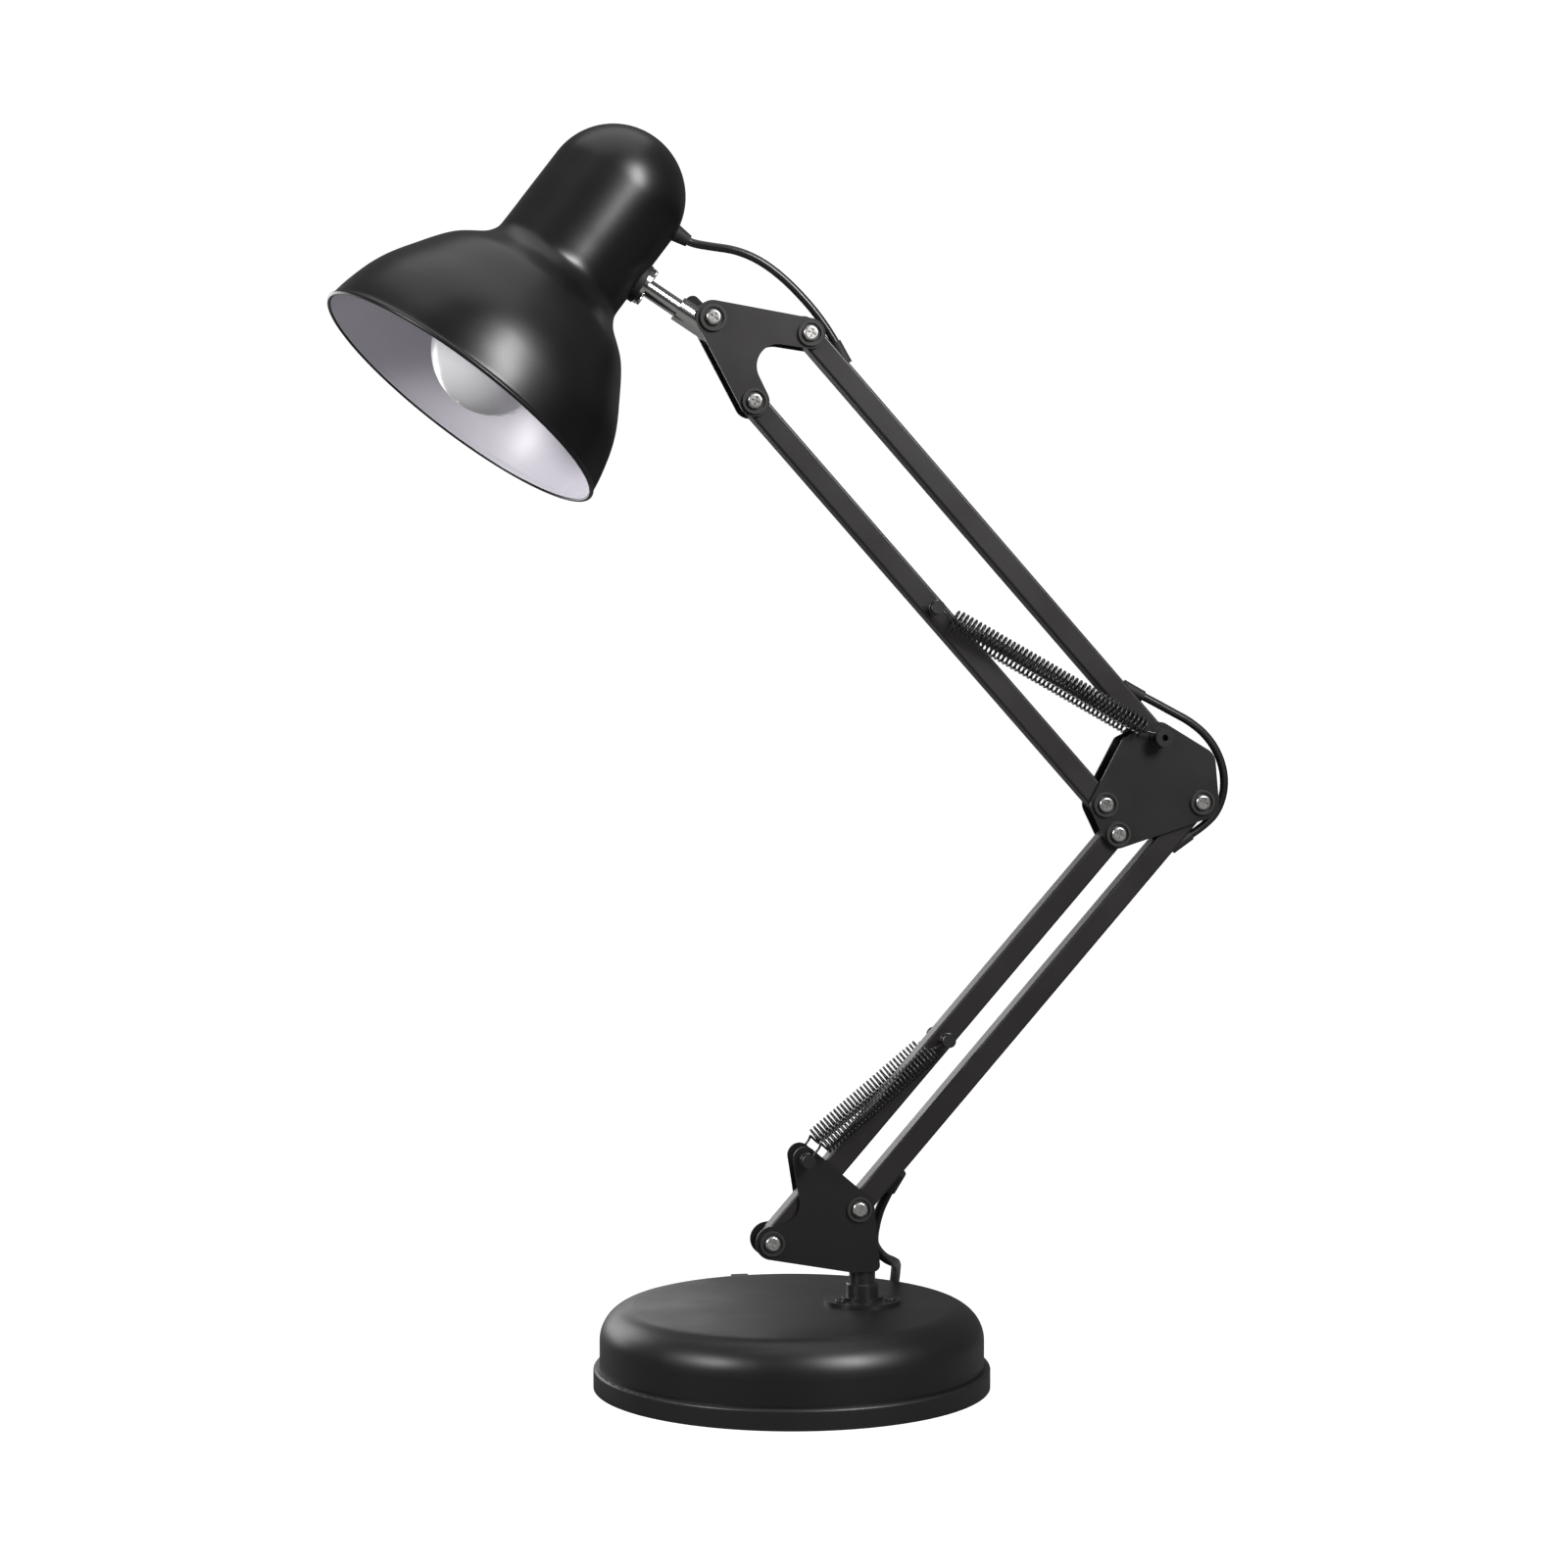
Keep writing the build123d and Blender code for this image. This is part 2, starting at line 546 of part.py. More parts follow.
HEAD_ROUTE = [(-47.4, 3.0, 542.9), (-38.5, 1.6, 541.4), (-27.0, 0.6, 540.0), (-15.8, 0.0, 535.6),
              (-4.6, 0.0, 527.8), (6.0, 0.0, 517.6), (14.6, 0.0, 507.4), (20.4, 0.0, 498.6)]
ELBOW_ROUTE = [(178.4, 0.0, 327.0), (188.2, 0.0, 321.8), (198.0, 0.0, 316.8), (206.8, 0.0, 309.6),
               (213.0, 0.0, 300.0), (215.8, 0.0, 289.0), (214.4, 0.0, 278.0), (208.6, 0.0, 268.0)]
CORD_JOIN = (43.9, 12.6, 73.4)
BASE_ROUTE = [(46.5, 7.4, 85.4), (44.6, 10.2, 79.0), CORD_JOIN]
MAINS_ROUTE = [CORD_JOIN, (42.92, 15.96, 65.56), (47.0, 22.0, 58.4), (53.0, 29.6, 53.2), (58.6, 38.6, 50.0),
               (62.6, 48.8, 47.2), (65.2, 60.0, 43.0), (67.2, 71.0, 35.2), (68.6, 81.4, 25.2),
               (69.6, 92.0, 13.6), (70.2, 102.8, 5.4)]
SWITCH_AT = (65.6, 149.0)
SWITCH_TURN = 97.0
COIL_AT = (14.0, 179.0)
COIL_OUTER = 37.5
COIL_INNER = 16.5
COIL_HEIGHT = 10.4
PLUG_AT = (17.0, 121.0)
PLUG_TURN = 180.0
PLUG_ROUTE = [(-20.8, 183.0, CORD_R), (-24.6, 170.0, CORD_R), (-31.4, 159.0, CORD_R), (-38.4, 149.0, 2.7),
              (-42.6, 138.4, 3.8), (-39.0, 126.4, 5.8)]


def leads():
    place = shade_place()
    out = swivelled(place * Pos(NECK_R + 0.4, 0, LEAD_HOLE_AT) * Cylinder(0.5, 0.5)).center()
    aim = (Vector(*HEAD_ROUTE[0]) - out).normalized()
    grommet = Plane(origin=out - aim * 2.4, z_dir=aim).location * Cone(4.4, 2.9, 8.6, align=STANDING)
    grommet = grommet - swivelled(place * shade_solid())
    keep("shade_grommet", max(grommet.solids(), key=lambda s: (s.center() - out).dot(aim)))
    start = out + aim * 6.2

    top, rear = made["upper_top_bar"], made["lower_rear_bar"]
    boot_a, end_a = boot(TOP_ENTRY, HEAD_ROUTE[-1], LEAD_R, top)
    boot_b, start_b = boot(TOP_EXIT, ELBOW_ROUTE[0], LEAD_R, top)
    boot_c, end_c = boot(REAR_ENTRY, ELBOW_ROUTE[-1], LEAD_R, rear)
    boot_d, start_d = boot(REAR_EXIT, BASE_ROUTE[0], CORD_R, rear)
    keep("top_bar_boots", solids_of([boot_a, boot_b]))
    keep("rear_bar_boots", solids_of([boot_c, boot_d]))
    flexible("head_lead", [tuple(start), *HEAD_ROUTE, end_a], LEAD_R)
    flexible("elbow_lead", [start_b, *ELBOW_ROUTE, end_c], LEAD_R)
    flexible("base_lead", [start_d, *BASE_ROUTE], CORD_R)


def flat_local(place, turn):
    """A frame on the floor, its X along the cord."""
    return Pos(place[0], place[1], 0) * Rot(0, 0, turn)


def mains():
    switch = flat_local(SWITCH_AT, SWITCH_TURN)
    body = Pos(0, 0, 7.5) * Box(46.0, 22.0, 15.0)
    body = fillet(body.edges().filter_by(Axis.Z), 7.0)
    body = fillet(body.edges().group_by(Axis.Z)[-1], 3.0)
    body -= Pos(0, 0, 13.0) * Box(19.0, 11.4, 8.0)
    keep("switch_body", switch * body)
    rocker = Pos(0, 0, 13.2) * Box(18.2, 10.6, 5.2)
    rocker = fillet(rocker.edges().filter_by(Axis.Y).group_by(Axis.Z)[-1], 1.6)
    rocker -= Pos(0, 0, 25.4) * Rot(90, 0, 0) * Cylinder(10.6, 20)
    rocker += Pos(0, 0, 12.5) * Rot(90, 0, 0) * Cylinder(1.2, 11.2)
    keep("switch_rocker", switch * rocker)

    near_end = (switch * Pos(-23.0, 0, CORD_R)).position
    far_end = (switch * Pos(23.0, 0, CORD_R)).position
    before = (switch * Pos(-35.0, 0, CORD_R)).position
    flexible("mains_cord", [*MAINS_ROUTE, tuple(before), tuple(near_end)], CORD_R)
    exit_way = (switch * Pos(33.0, 0, CORD_R)).position
    joins_coil = (COIL_AT[0] + COIL_OUTER - CORD_R, COIL_AT[1] + 10.0, CORD_R)
    flexible("coil_lead", [tuple(far_end), tuple(exit_way), joins_coil], CORD_R)

    coil = disc(*COIL_AT, COIL_OUTER, 0, COIL_HEIGHT) - disc(*COIL_AT, COIL_INNER, -1, COIL_HEIGHT + 1)
    keep("mains_coil", fillet(coil.edges(), 2.2))
    tie = Pos(COIL_AT[0], COIL_AT[1] + (COIL_OUTER + COIL_INNER) / 2, COIL_HEIGHT / 2)
    band = Box(9.0, COIL_OUTER - COIL_INNER + 2.4, COIL_HEIGHT + 1.4)
    band -= Box(20.0, COIL_OUTER - COIL_INNER + 0.6, COIL_HEIGHT + 0.2)
    keep("cord_tie", Pos(0, 0, 0.7) * tie * band)


def plug():
    place = flat_local(PLUG_AT, PLUG_TURN)
    shape = Pos(0, 0, 8.0) * Box(34.0, 30.0, 14.0)
    shape = fillet(shape.edges().filter_by(Axis.Z), 6.0)
    tail = Pos(17.0, 0, 8.0) * Rot(0, 90, 0) * Cone(5.0, 3.4, 16.0, align=STANDING)
    keep("plug_body", place * (shape + tail))
    pins = []
    for y in (-9.5, 9.5):
        pins.append(Pos(-17.0, y, 8.0) * Rot(0, -90, 0) * Cylinder(2.0, 19.0, align=STANDING))
    keep("plug_pins", place * solids_of(pins))
    tail_end = (place * Pos(33.0, 0, 8.0)).position
    before = (place * Pos(45.4, 0, 8.0)).position
    flexible("plug_lead", [*PLUG_ROUTE, tuple(before), tuple(tail_end)], CORD_R)


base()
lower_bracket()
lower_arm()
elbow()
upper_arm()
head_bracket()
shade()
leads()
mains()
plug()
print(len(made), "sub-parts")
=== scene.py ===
import math

import bmesh
import bpy
from mathutils import Matrix, Vector
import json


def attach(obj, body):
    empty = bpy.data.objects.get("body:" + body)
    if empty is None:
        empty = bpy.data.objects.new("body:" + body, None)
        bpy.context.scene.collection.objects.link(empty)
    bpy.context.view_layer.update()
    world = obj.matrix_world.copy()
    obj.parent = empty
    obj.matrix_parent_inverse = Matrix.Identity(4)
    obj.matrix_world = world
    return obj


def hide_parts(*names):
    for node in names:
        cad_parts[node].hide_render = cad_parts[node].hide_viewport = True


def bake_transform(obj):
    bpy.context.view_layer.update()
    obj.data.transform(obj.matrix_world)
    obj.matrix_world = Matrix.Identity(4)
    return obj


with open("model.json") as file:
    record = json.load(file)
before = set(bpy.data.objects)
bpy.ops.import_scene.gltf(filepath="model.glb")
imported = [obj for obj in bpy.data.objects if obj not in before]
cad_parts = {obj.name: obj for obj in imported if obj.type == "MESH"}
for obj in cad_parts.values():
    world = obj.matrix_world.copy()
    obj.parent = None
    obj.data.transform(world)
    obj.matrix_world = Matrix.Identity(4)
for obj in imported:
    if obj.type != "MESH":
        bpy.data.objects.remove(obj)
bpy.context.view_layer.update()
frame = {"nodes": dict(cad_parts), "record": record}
NODES = frame["nodes"]
SCENE = bpy.context.scene
MM = 0.001

# ---------------------------------------------------------------- camera
CAMERA_AT = (-0.3006, -1.508, 0.3485)
CAMERA_PITCH = 90.0 - 2.256
CAMERA_HEADING = -11.134
CAMERA_LENS = 74.25

camera = bpy.data.objects.new("camera", bpy.data.cameras.new("camera"))
SCENE.collection.objects.link(camera)
camera.location = CAMERA_AT
camera.rotation_euler = (math.radians(CAMERA_PITCH), 0.0, math.radians(CAMERA_HEADING))
camera.data.lens = CAMERA_LENS
camera.data.sensor_width = 36.0
camera.data.clip_start = 0.05
camera.data.clip_end = 20.0
SCENE.camera = camera


# ---------------------------------------------------------------- the lamp's own geometry, in millimetres
def mm(*xyz):
    return Vector(xyz) * MM


def polar(angle, length):
    return length * math.cos(math.radians(angle)), length * math.sin(math.radians(angle))


def step(point, angle, length):
    dx, dz = polar(angle, length)
    return point[0] + dx, point[1] + dz


LOWER_ANGLE = 48.6
UPPER_ANGLE = 132.0
BAR_LENGTH = 257.5
HALF_BAR = 5.5
PIVOT_G = (-11.0, 69.6)
PIVOT_H = step(PIVOT_G, 19.5, 45.0)
PIVOT_E = step(PIVOT_G, LOWER_ANGLE, BAR_LENGTH)
PIVOT_F = step(PIVOT_H, LOWER_ANGLE, BAR_LENGTH)
PIVOT_D = step(PIVOT_E, 113.9, 15.7)
PIVOT_S = step(PIVOT_D, 50.3, 42.0)
PIVOT_B = step(PIVOT_S, UPPER_ANGLE, BAR_LENGTH)
STUD_L = (5.0, 109.5)
SPRING_PIN_AT = 127.5
PIN_T = step(PIVOT_G, LOWER_ANGLE, SPRING_PIN_AT)
PIN_U = step(PIVOT_D, UPPER_ANGLE, SPRING_PIN_AT)

# The shade's own frame: its mouth's centre, +Z towards its crown, +X towards the rod.
ROD_ANGLE = 147.4
ROD_DIR = Vector((math.cos(math.radians(ROD_ANGLE)), 0.0, math.sin(math.radians(ROD_ANGLE))))
ROD_ORIGIN = Vector((-41.5129, 0.0, 503.5321))
ROD_REACH = 37.2
ROD_SEAT_AT = 97.4
SWIVEL = 5.5
SHADE_TURN = 37.4
SHADE_H = 156.0
SHADE_WALL = 0.9
NECK_R = 33.6
NECK_TOP = 122.4
LEAD_HOLE_AT = 127.4

lean = Matrix.Rotation(math.radians(SHADE_TURN), 3, "Y")
swivel = Matrix.Rotation(math.radians(SWIVEL), 3, ROD_DIR)
from_rod = ROD_DIR * ROD_REACH - lean @ Vector((NECK_R, 0.0, ROD_SEAT_AT))
SHADE_MATRIX = Matrix.Translation((ROD_ORIGIN + swivel @ from_rod) * MM) @ (swivel @ lean).to_4x4()

# ---------------------------------------------------------------- routes of the leads and the cord
LEAD_R = 2.0
CORD_R = 2.5
GROMMET_OUT = 6.2
BOOT_OUT = 9.0
CORD_JOIN = (43.9, 12.6, 73.4)
LEAD_BEND = (46.5, 7.4, 85.4)
HEAD_ROUTE = [
    (-47.4, 3.0, 542.9), (-38.5, 1.6, 541.4), (-27.0, 0.6, 540.0), (-15.8, 0.0, 535.6),
    (-4.6, 0.0, 527.8), (6.0, 0.0, 517.6), (14.6, 0.0, 507.4), (20.4, 0.0, 498.6),
]
ELBOW_ROUTE = [
    (178.4, 0.0, 327.0), (188.2, 0.0, 321.8), (198.0, 0.0, 316.8), (206.8, 0.0, 309.6),
    (213.0, 0.0, 300.0), (215.8, 0.0, 289.0), (214.4, 0.0, 278.0), (208.6, 0.0, 268.0),
]


def beyond(start, towards, distance):
    """A point some way from the start towards another point."""
    start = Vector(start)
    return tuple(start + (Vector(towards) - start).normalized() * distance)


def boot_tip(pivot, angle, along, side, towards):
    """Where a lead leaves its boot on a bar's face, an along distance from a pivot."""
    face = step(step(pivot, angle, along), angle + 90.0 * side, HALF_BAR)
    return beyond((face[0], 0.0, face[1]), towards, BOOT_OUT)


lead_hole = SHADE_MATRIX @ mm(NECK_R + 0.4, 0.0, LEAD_HOLE_AT) / MM
head_points = [
    beyond(lead_hole, HEAD_ROUTE[0], GROMMET_OUT),
    *HEAD_ROUTE,
    boot_tip(PIVOT_B, UPPER_ANGLE + 180.0, 20.0, 1, HEAD_ROUTE[-1]),
]
elbow_points = [
    boot_tip(PIVOT_S, UPPER_ANGLE, 27.0, -1, ELBOW_ROUTE[0]),
    *ELBOW_ROUTE,
    boot_tip(PIVOT_F, LOWER_ANGLE + 180.0, 23.0, 1, ELBOW_ROUTE[-1]),
]
base_points = [boot_tip(PIVOT_H, LOWER_ANGLE, 24.0, -1, LEAD_BEND), LEAD_BEND, (44.6, 10.2, 79.0), CORD_JOIN]

SWITCH_AT = Matrix.Translation(mm(65.6, 149.0, 0.0)) @ Matrix.Rotation(math.radians(97.0), 4, "Z")
SWITCH_END = 23.0
PLUG_AT = Matrix.Translation(mm(17.0, 121.0, 0.0)) @ Matrix.Rotation(math.radians(180.0), 4, "Z")
PLUG_END = 33.0
PLUG_AXIS = 8.0


def by_switch(x):
    return tuple((SWITCH_AT @ mm(x, 0.0, CORD_R)) / MM)


def by_plug(x):
    return tuple((PLUG_AT @ mm(x, 0.0, PLUG_AXIS)) / MM)


BASE_EDGE = (70.2, 102.8, 5.4)
mains_points = [
    CORD_JOIN, (42.92, 15.96, 65.56), (47.0, 22.0, 58.4), (53.0, 29.6, 53.2), (58.6, 38.6, 50.0),
    (62.6, 48.8, 47.2), (65.2, 60.0, 43.0), (67.2, 71.0, 35.2), (68.6, 81.4, 25.2), (69.6, 92.0, 13.6),
    BASE_EDGE, by_switch(-SWITCH_END - 12.0), by_switch(-SWITCH_END),
]
PLUG_ROUTE = [
    (-20.8, 183.0, 7.0), (-25.6, 171.0, 5.6), (-31.4, 159.0, 4.0), (-38.4, 149.0, 2.7),
    (-42.6, 138.4, 3.8), (-39.0, 126.4, 5.8),
]

COIL_AT = (14.0, 179.0)
COIL_START = 10.0
COIL_PITCH = 5.1
LOWER_TURNS = 4
LOWER_R = 35.0
UPPER_TURNS = 3
UPPER_R = 22.2
UPPER_Z = 7.3
POINTS_A_TURN = 16


def change(before, after, share):
    """A smooth change from one value to another over the last two fifths of a turn."""
    ease = max(0.0, (share - 0.6) / 0.4)
    return before + (after - before) * ease * ease * (3.0 - 2.0 * ease)


def coil_route():
    """The spare cord: out of the switch, round the coil inwards, back out on top and away to the plug."""
    rings = [(LOWER_R - COIL_PITCH * i, CORD_R) for i in range(LOWER_TURNS)]
    rings += [(UPPER_R + COIL_PITCH * i, UPPER_Z) for i in range(UPPER_TURNS)]
    route = [by_switch(SWITCH_END), by_switch(SWITCH_END + 7.0), (55.6, 181.0, CORD_R)]
    last = len(rings) - 1
    for i in range(len(rings) * POINTS_A_TURN + 1):
        place = i / POINTS_A_TURN
        ring = min(int(place), last)
        after = min(ring + 1, last)
        radius, height = (change(rings[ring][k], rings[after][k], place - ring) for k in (0, 1))
        dx, dy = polar(COIL_START + 360.0 * place, radius)
        route.append((COIL_AT[0] + dx, COIL_AT[1] + dy, height))
    return route + PLUG_ROUTE + [by_plug(PLUG_END + 12.4), by_plug(PLUG_END)]


# ---------------------------------------------------------------- cords
def drawn_line(name, points, radius, kind="NURBS", sides=3):
    """A round wire or cord as a curve through or by its points, which are in metres."""
    curve = bpy.data.curves.new(name, "CURVE")
    curve.dimensions = "3D"
    curve.bevel_depth = radius * MM
    curve.bevel_resolution = sides
    curve.use_fill_caps = True
    curve.resolution_u = 6
    curve.render_resolution_u = 0
    spline = curve.splines.new(kind)
    spline.points.add(len(points) - 1)
    for point, co in zip(spline.points, points):
        point.co = (*co, 1.0)
    spline.order_u = 3
    spline.resolution_u = 6
    spline.use_endpoint_u = True
    drawn = bpy.data.objects.new(name, curve)
    SCENE.collection.objects.link(drawn)
    return drawn


def evaluated_mesh(drawn):
    bpy.context.view_layer.update()
    graph = bpy.context.evaluated_depsgraph_get()
    return bpy.data.meshes.new_from_object(drawn.evaluated_get(graph))


def solid_piece(drawn, name):
    """A mesh piece, smooth all over, in place of a drawn curve."""
    mesh = evaluated_mesh(drawn)
    mesh.name = name
    for polygon in mesh.polygons:
        polygon.use_smooth = True
    bpy.data.objects.remove(drawn)
    piece = bpy.data.objects.new(name, mesh)
    SCENE.collection.objects.link(piece)
    return piece


def cord_piece(name, route, radius):
    """A mesh cord on the spline whose control points are the route's, and the points of its line."""
    drawn = drawn_line(name + "_line", [mm(*point) for point in route], radius)
    drawn.data.bevel_depth = 0.0
    drawn.data.use_fill_caps = False
    bare = evaluated_mesh(drawn)
    line = [vertex.co.copy() for vertex in bare.vertices]
    bpy.data.meshes.remove(bare)
    drawn.data.bevel_depth = radius * MM
    drawn.data.use_fill_caps = True
    return solid_piece(drawn, name), line


def split_route(points, cuts):
    """A lead's control points as one route for each joint, end to end where the spline touches a run."""
    parts = []
    start = points[0]
    first = 1
    for cut in cuts:
        middle = tuple((Vector(points[cut - 1]) + Vector(points[cut])) / 2)
        parts.append([start, *points[first:cut], middle])
        start = middle
        first = cut
    parts.append([start, *points[first:]])
    return parts


mains_cord, mains_line = cord_piece("mains_cord_look", mains_points, CORD_R)
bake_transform(mains_cord)
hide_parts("mains_cord")

base_lead, base_line = cord_piece("base_lead_look", base_points, CORD_R)
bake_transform(base_lead)
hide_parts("base_lead")

coil_cord, coil_line = cord_piece("coil_cord", coil_route(), CORD_R)
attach(coil_cord, "base")
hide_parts("coil_lead", "mains_coil", "plug_lead")
cord_pieces = [mains_cord, base_lead, coil_cord]

# A lead that crosses several joints is one piece for each joint.
LEADS = (
    (
        "head_lead", head_points, (3, 6),
        (("shade", "rod_sleeve"), ("rod_sleeve", "head_bracket"), ("head_bracket", "upper_top_bar")),
    ),
    ("elbow_lead", elbow_points, (5,), (("upper_top_bar", "elbow"), ("elbow", "lower_rear_bar"))),
)
for node, points, cuts, joined in LEADS:
    for number, (part, bodies) in enumerate(zip(split_route(points, cuts), joined), 1):
        piece, line = cord_piece(f"{node}_{number}", part, LEAD_R)
        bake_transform(piece)
        if number == 1:
            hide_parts(node)
        cord_pieces.append(piece)


# ---------------------------------------------------------------- materials
PATCH_INPUTS = ("Patch Scale", "Roughness Low", "Roughness High")
GRAIN_INPUTS = ("Grain Scale", "Grain Strength", "Grain Depth")


def finish_group():
    """Soft patches of roughness and a fine grain, both on a piece's own coordinates."""
    group = bpy.data.node_groups.new("finish", "ShaderNodeTree")
    for name in PATCH_INPUTS + GRAIN_INPUTS:
        group.interface.new_socket(name, in_out="INPUT", socket_type="NodeSocketFloat")
    group.interface.new_socket("Roughness", in_out="OUTPUT", socket_type="NodeSocketFloat")
    group.interface.new_socket("Normal", in_out="OUTPUT", socket_type="NodeSocketVector")

    given = group.nodes.new("NodeGroupInput")
    where = group.nodes.new("ShaderNodeTexCoord")
    patches = group.nodes.new("ShaderNodeTexNoise")
    patches.inputs["Detail"].default_value = 3.0
    rough = group.nodes.new("ShaderNodeMapRange")
    rough.inputs["From Min"].default_value = 0.3
    rough.inputs["From Max"].default_value = 0.7
    grain = group.nodes.new("ShaderNodeTexNoise")
    grain.inputs["Detail"].default_value = 3.0
    bump = group.nodes.new("ShaderNodeBump")
    result = group.nodes.new("NodeGroupOutput")
    for source, target in (
        (where.outputs["Object"], patches.inputs["Vector"]),
        (given.outputs["Patch Scale"], patches.inputs["Scale"]),
        (patches.outputs["Fac"], rough.inputs["Value"]),
        (given.outputs["Roughness Low"], rough.inputs["To Min"]),
        (given.outputs["Roughness High"], rough.inputs["To Max"]),
        (rough.outputs["Result"], result.inputs["Roughness"]),
        (where.outputs["Object"], grain.inputs["Vector"]),
        (given.outputs["Grain Scale"], grain.inputs["Scale"]),
        (grain.outputs["Fac"], bump.inputs["Height"]),
        (given.outputs["Grain Strength"], bump.inputs["Strength"]),
        (given.outputs["Grain Depth"], bump.inputs["Distance"]),
        (bump.outputs["Normal"], result.inputs["Normal"]),
    ):
        group.links.new(source, target)
    return group


FINISH = finish_group()


def shader(name, color, rough=0.35, metal=0.0, coat=0.0, spec=0.5, patches=None, grain=None):
    """A material. Patches are (scale, least and most roughness) and grain is (scale, strength, depth)."""
    material = bpy.data.materials.new(name)
    material.use_nodes = True
    material.diffuse_color = (*color, 1.0)
    tree = material.node_tree
    principled = tree.nodes["Principled BSDF"]
    principled.inputs["Base Color"].default_value = (*color, 1.0)
    principled.inputs["Roughness"].default_value = rough
    principled.inputs["Metallic"].default_value = metal
    principled.inputs["Coat Weight"].default_value = coat
    principled.inputs["Coat Roughness"].default_value = 0.1
    principled.inputs["Specular IOR Level"].default_value = spec
    if not patches and not grain:
        return material
    surface = tree.nodes.new("ShaderNodeGroup")
    surface.node_tree = FINISH
    for names, values, result in ((PATCH_INPUTS, patches, "Roughness"), (GRAIN_INPUTS, grain, "Normal")):
        if values:
            for socket, value in zip(names, values):
                surface.inputs[socket].default_value = value
            tree.links.new(surface.outputs[result], principled.inputs[result])
    return material


PAINT_GRAIN = (900.0, 0.10, 0.00005)
BLACK = (0.0052, 0.0048, 0.0050)
SHADE_BLACK = (0.0030, 0.0028, 0.0030)
BROWN_BLACK = (0.0125, 0.0105, 0.0102)
LOOKS = {
    "black_paint": shader("black_paint", BLACK, patches=(26.0, 0.34, 0.42), grain=PAINT_GRAIN),
    "shade_paint": shader("shade_paint", SHADE_BLACK, patches=(26.0, 0.31, 0.37), grain=PAINT_GRAIN),
    "arm_paint": shader("arm_paint", BROWN_BLACK, patches=(26.0, 0.32, 0.40), grain=PAINT_GRAIN),
    "cast_iron": shader("cast_iron", (0.12, 0.12, 0.12), 0.7, metal=0.6, grain=(300.0, 0.5, 0.0002)),
    "felt": shader("felt", (0.02, 0.02, 0.02), 0.95, spec=0.1, grain=(1200.0, 0.6, 0.0002)),
    "skirt_plastic": shader("skirt_plastic", (0.0075, 0.0068, 0.0068), 0.42, grain=(1400.0, 0.12, 0.00005)),
    "chrome": shader("chrome", (0.70, 0.69, 0.68), metal=1.0, patches=(60.0, 0.09, 0.17)),
    "zinc": shader("zinc", (0.62, 0.61, 0.59), metal=1.0, patches=(90.0, 0.22, 0.36)),
    "black_steel": shader("black_steel", (0.010, 0.0092, 0.0092), coat=0.1, patches=(40.0, 0.32, 0.44)),
    "spring_steel": shader("spring_steel", (0.010, 0.0092, 0.0090), coat=0.2, patches=(60.0, 0.24, 0.36)),
    "nylon": shader("nylon", (0.028, 0.027, 0.027), 0.34, grain=(900.0, 0.08, 0.00005)),
    "rubber": shader("rubber", (0.016, 0.016, 0.016), 0.62, spec=0.35, grain=(900.0, 0.2, 0.0001)),
    "holder_plastic": shader("holder_plastic", (0.80, 0.79, 0.77), 0.4, grain=(600.0, 0.06, 0.0001)),
    "bulb": shader("bulb", (0.88, 0.87, 0.90), coat=0.3, patches=(30.0, 0.24, 0.32)),
    "bulb_metal": shader("bulb_metal", (0.72, 0.71, 0.69), metal=1.0, patches=(80.0, 0.24, 0.38)),
    "cord_plastic": shader("cord_plastic", (0.009, 0.0085, 0.009), coat=0.15, patches=(50.0, 0.26, 0.38)),
    "plug_plastic": shader("plug_plastic", (0.015, 0.0145, 0.015), 0.30, grain=(800.0, 0.06, 0.0001)),
    "brass": shader("brass", (0.76, 0.72, 0.62), metal=1.0, patches=(70.0, 0.16, 0.30)),
    "switch_red": shader("switch_rocker", (0.022, 0.022, 0.023), 0.28, grain=(800.0, 0.05, 0.0001)),
}
SHADE_WHITE = shader("shade_white", (0.76, 0.73, 0.80), patches=(24.0, 0.30, 0.42))
SLOT_OF = {subpart["node"]: subpart["material_slot"] for subpart in frame["record"]["subparts"]}


def give_look(piece, look):
    piece.data.materials.clear()
    piece.data.materials.append(look)


for name, node in NODES.items():
    give_look(node, LOOKS[SLOT_OF[name]])
for piece in cord_pieces:
    give_look(piece, LOOKS["cord_plastic"])


# ---------------------------------------------------------------- the shade
def piece_of(name, build, look, smooth=40.0):
    """A piece from a bmesh, its place in its own vertices, smooth but for edges sharper than the angle."""
    mesh = bpy.data.meshes.new(name)
    build.normal_update()
    for face in build.faces:
        face.smooth = True
    for edge in build.edges:
        edge.smooth = len(edge.link_faces) == 2 and edge.calc_face_angle(0.0) < math.radians(smooth)
    build.to_mesh(mesh)
    build.free()
    made = bpy.data.objects.new(name, mesh)
    SCENE.collection.objects.link(made)
    give_look(made, look)
    return made


def turned(build, profile, matrix, steps):
    """Turns a closed (radius, height) profile, in millimetres, round +Z and places it."""
    rims = [build.verts.new(mm(radius, 0.0, height)) for radius, height in profile]
    edges = [build.edges.new(pair) for pair in zip(rims, rims[1:] + rims[:1])]
    bmesh.ops.spin(
        build, geom=rims + edges, cent=(0.0, 0.0, 0.0), axis=(0.0, 0.0, 1.0), dvec=(0.0, 0.0, 0.0),
        angle=math.tau, steps=steps, use_merge=True, use_duplicate=False,
    )
    bmesh.ops.remove_doubles(build, verts=build.verts, dist=1e-6)
    bmesh.ops.recalc_face_normals(build, faces=build.faces)
    bmesh.ops.transform(build, matrix=matrix, verts=build.verts)


